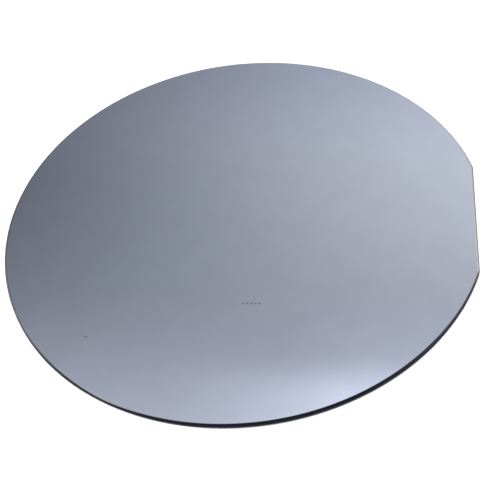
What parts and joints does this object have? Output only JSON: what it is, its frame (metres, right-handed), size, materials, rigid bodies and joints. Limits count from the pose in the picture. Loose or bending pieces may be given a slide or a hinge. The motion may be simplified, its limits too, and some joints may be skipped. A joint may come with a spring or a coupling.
{
  "type": "silicon wafer",
  "caption": "Thin round silicon wafer with a straight orientation flat, a mirror-polished front, a matt etched back and a bevelled ground edge; a blank substrate for chip making.",
  "frame": {"origin": "centre of the wafer's circle, on the back face", "axes": "+Z comes straight out of the polished front face, and the primary flat faces -Y"},
  "size_m": [0.0508, 0.0497, 0.0005],
  "materials": {
    "silicon": "front polished to a mirror, back etched matt, edge ground"
  },
  "bodies": {
    "root": {"wafer": "silicon"}
  },
  "joints": []
}
